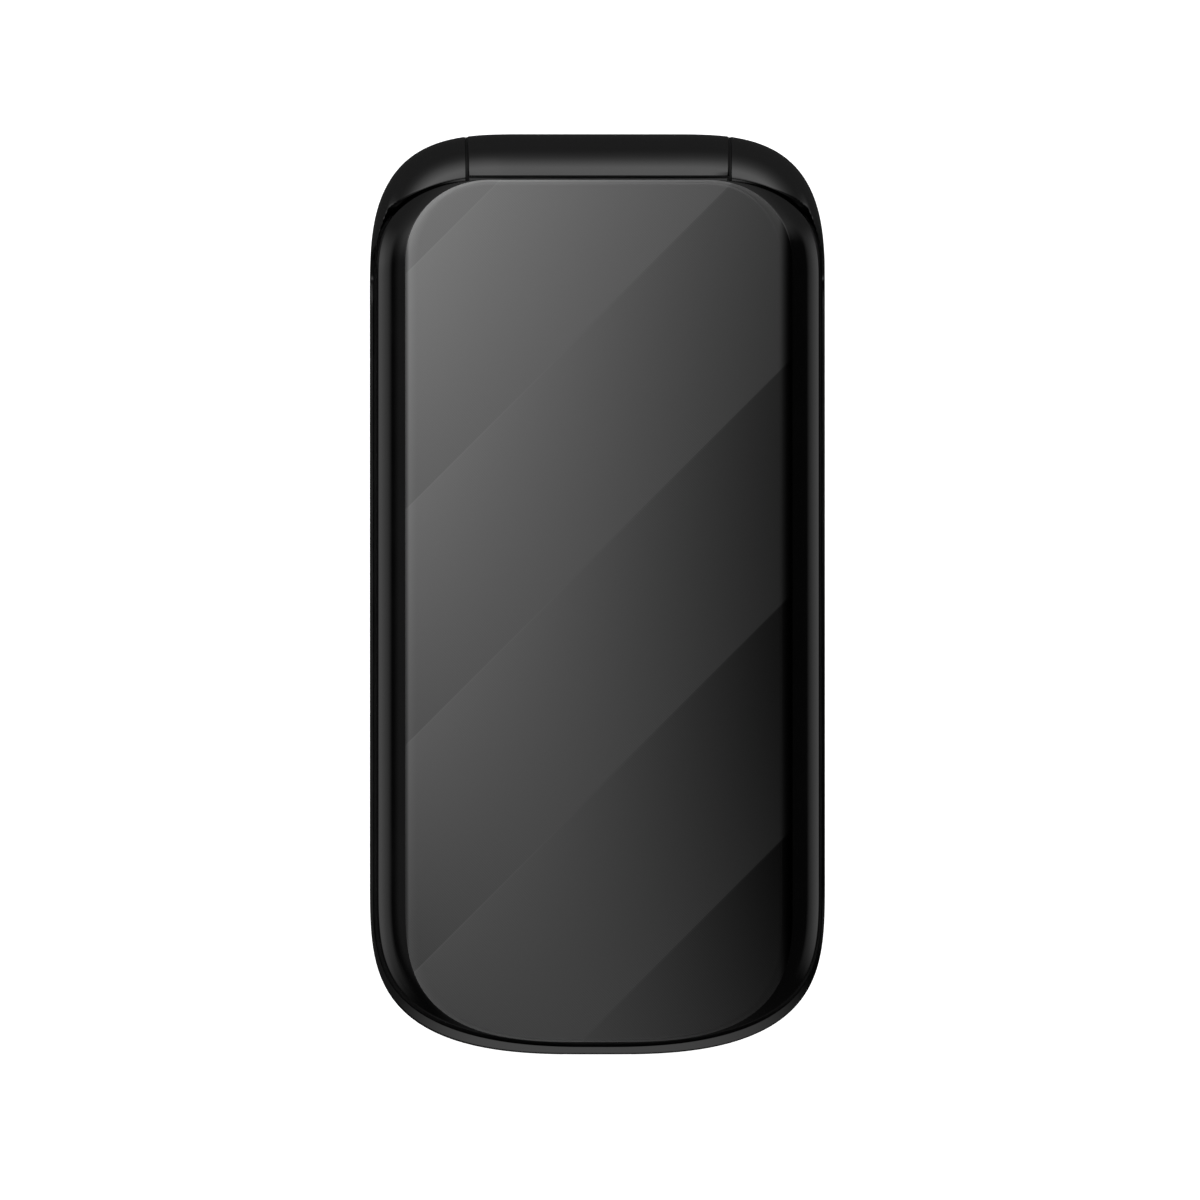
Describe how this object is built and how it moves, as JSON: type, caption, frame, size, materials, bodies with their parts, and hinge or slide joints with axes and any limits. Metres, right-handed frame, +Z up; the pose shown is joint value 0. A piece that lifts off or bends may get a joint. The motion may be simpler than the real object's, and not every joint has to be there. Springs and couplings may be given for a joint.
{
  "type": "flip phone",
  "caption": "Closed clamshell mobile phone: a hinged lid with a patterned window folds over a keypad base with a sliding battery cover.",
  "frame": {"origin": "under the middle of the closed phone, on the rear face that it lies on", "axes": "X across the phone, +Y towards the hinge, +Z up through the lid"},
  "size_m": [0.0514, 0.104, 0.0188],
  "materials": {
    "black_gloss_shell": "high-gloss black lacquer, fine clear coat",
    "black_matt_shell": "fine matt black texture",
    "patterned_window": "dark metallic diagonal bands under clear acrylic",
    "lens_black": "clear acrylic over black print",
    "key_plastic": "satin moulded keys",
    "ring_metal": "brushed ring",
    "battery_wrap": "plain dark film wrap",
    "contact_metal": "gold plated contacts and copper tracks",
    "circuit_board": "green solder mask",
    "steel_sheet": "stamped stainless sheet",
    "screw_steel": "machined steel",
    "inner_plastic": "moulded black plastic",
    "display_glass": "display cell, switched off",
    "flash_plastic": "diffusing flash cap",
    "silicone": "dark silicone"
  },
  "bodies": {
    "base": {"base_rear_housing": "black_matt_shell", "base_front_housing": "black_gloss_shell", "battery": "battery_wrap", "battery_connector": "contact_metal", "main_board": "circuit_board", "shield_cans": "steel_sheet", "dome_sheet": "steel_sheet", "keypad_mat": "silicone", "sim_holder": "steel_sheet", "memory_card_holder": "steel_sheet", "usb_port": "steel_sheet", "headphone_jack": "inner_plastic", "loudspeaker": "inner_plastic", "microphone": "contact_metal", "camera_module": "inner_plastic", "camera_window": "lens_black", "flash_led": "flash_plastic", "vibration_motor": "steel_sheet", "antenna": "contact_metal", "hall_sensor": "inner_plastic", "base_screws": "screw_steel", "hinge_shaft": "screw_steel", "hinge_bush": "inner_plastic", "base_flex": "contact_metal"},
    "lid": {"lid_outer_housing": "black_gloss_shell", "lid_window": "patterned_window", "lid_inner_housing": "black_gloss_shell", "display_lens": "lens_black", "lcd_panel": "display_glass", "backlight_frame": "inner_plastic", "lid_board": "circuit_board", "lid_midframe": "steel_sheet", "earpiece": "steel_sheet", "lid_magnet": "steel_sheet", "lid_bumpers": "silicone", "lid_screws": "screw_steel", "lid_screw_caps": "silicone", "hinge_case": "screw_steel", "friction_washers": "screw_steel", "hinge_flex": "contact_metal"},
    "battery_cover": {"battery_cover": "black_matt_shell"},
    "nav_backing": {"nav_backing": "key_plastic"},
    "nav_ring": {"nav_ring": "ring_metal"},
    "key_1": {"key_1": "key_plastic"},
    "key_2": {"key_2": "key_plastic"},
    "key_3": {"key_3": "key_plastic"},
    "key_4": {"key_4": "key_plastic"},
    "key_5": {"key_5": "key_plastic"},
    "key_6": {"key_6": "key_plastic"},
    "key_7": {"key_7": "key_plastic"},
    "key_8": {"key_8": "key_plastic"},
    "key_9": {"key_9": "key_plastic"},
    "key_star": {"key_star": "key_plastic"},
    "key_0": {"key_0": "key_plastic"},
    "key_hash": {"key_hash": "key_plastic"},
    "soft_key_left": {"soft_key_left": "key_plastic"},
    "soft_key_right": {"soft_key_right": "key_plastic"},
    "call_key": {"call_key": "key_plastic"},
    "end_key": {"end_key": "key_plastic"},
    "ok_key": {"ok_key": "key_plastic"}
  },
  "joints": [
    {"name": "lid_open", "type": "hinge", "parent": "base", "child": "lid", "pos_m": [0, 0.0474, 0.0122], "axis": [-1, 0, 0], "range_deg": [0, 160]},
    {"name": "cover_slide", "type": "slide", "parent": "base", "child": "battery_cover", "axis": [0, -1, 0], "range_m": [0, 0.083]},
    {"name": "nav_tilt_x", "type": "hinge", "parent": "base", "child": "nav_backing", "pos_m": [0, 0.023, 0.0088], "axis": [1, 0, 0], "range_deg": [-1.5, 1.5], "stiffness_Nm_per_rad": 0.08},
    {"name": "nav_tilt_y", "type": "hinge", "parent": "nav_backing", "child": "nav_ring", "pos_m": [0, 0.023, 0.0088], "axis": [0, 1, 0], "range_deg": [-1.5, 1.5], "stiffness_Nm_per_rad": 0.08},
    {"name": "key_1_press", "type": "slide", "parent": "base", "child": "key_1", "axis": [0, 0, -1], "range_m": [0, 0.0003], "stiffness_N_per_m": 1500},
    {"name": "key_2_press", "type": "slide", "parent": "base", "child": "key_2", "axis": [0, 0, -1], "range_m": [0, 0.0003], "stiffness_N_per_m": 1500},
    {"name": "key_3_press", "type": "slide", "parent": "base", "child": "key_3", "axis": [0, 0, -1], "range_m": [0, 0.0003], "stiffness_N_per_m": 1500},
    {"name": "key_4_press", "type": "slide", "parent": "base", "child": "key_4", "axis": [0, 0, -1], "range_m": [0, 0.0003], "stiffness_N_per_m": 1500},
    {"name": "key_5_press", "type": "slide", "parent": "base", "child": "key_5", "axis": [0, 0, -1], "range_m": [0, 0.0003], "stiffness_N_per_m": 1500},
    {"name": "key_6_press", "type": "slide", "parent": "base", "child": "key_6", "axis": [0, 0, -1], "range_m": [0, 0.0003], "stiffness_N_per_m": 1500},
    {"name": "key_7_press", "type": "slide", "parent": "base", "child": "key_7", "axis": [0, 0, -1], "range_m": [0, 0.0003], "stiffness_N_per_m": 1500},
    {"name": "key_8_press", "type": "slide", "parent": "base", "child": "key_8", "axis": [0, 0, -1], "range_m": [0, 0.0003], "stiffness_N_per_m": 1500},
    {"name": "key_9_press", "type": "slide", "parent": "base", "child": "key_9", "axis": [0, 0, -1], "range_m": [0, 0.0003], "stiffness_N_per_m": 1500},
    {"name": "key_star_press", "type": "slide", "parent": "base", "child": "key_star", "axis": [0, 0, -1], "range_m": [0, 0.0003], "stiffness_N_per_m": 1500},
    {"name": "key_0_press", "type": "slide", "parent": "base", "child": "key_0", "axis": [0, 0, -1], "range_m": [0, 0.0003], "stiffness_N_per_m": 1500},
    {"name": "key_hash_press", "type": "slide", "parent": "base", "child": "key_hash", "axis": [0, 0, -1], "range_m": [0, 0.0003], "stiffness_N_per_m": 1500},
    {"name": "soft_key_left_press", "type": "slide", "parent": "base", "child": "soft_key_left", "axis": [0, 0, -1], "range_m": [0, 0.0003], "stiffness_N_per_m": 1500},
    {"name": "soft_key_right_press", "type": "slide", "parent": "base", "child": "soft_key_right", "axis": [0, 0, -1], "range_m": [0, 0.0003], "stiffness_N_per_m": 1500},
    {"name": "call_key_press", "type": "slide", "parent": "base", "child": "call_key", "axis": [0, 0, -1], "range_m": [0, 0.0003], "stiffness_N_per_m": 1500},
    {"name": "end_key_press", "type": "slide", "parent": "base", "child": "end_key", "axis": [0, 0, -1], "range_m": [0, 0.0003], "stiffness_N_per_m": 1500},
    {"name": "ok_key_press", "type": "slide", "parent": "base", "child": "ok_key", "axis": [0, 0, -1], "range_m": [0, 0.0003], "stiffness_N_per_m": 1500}
  ]
}
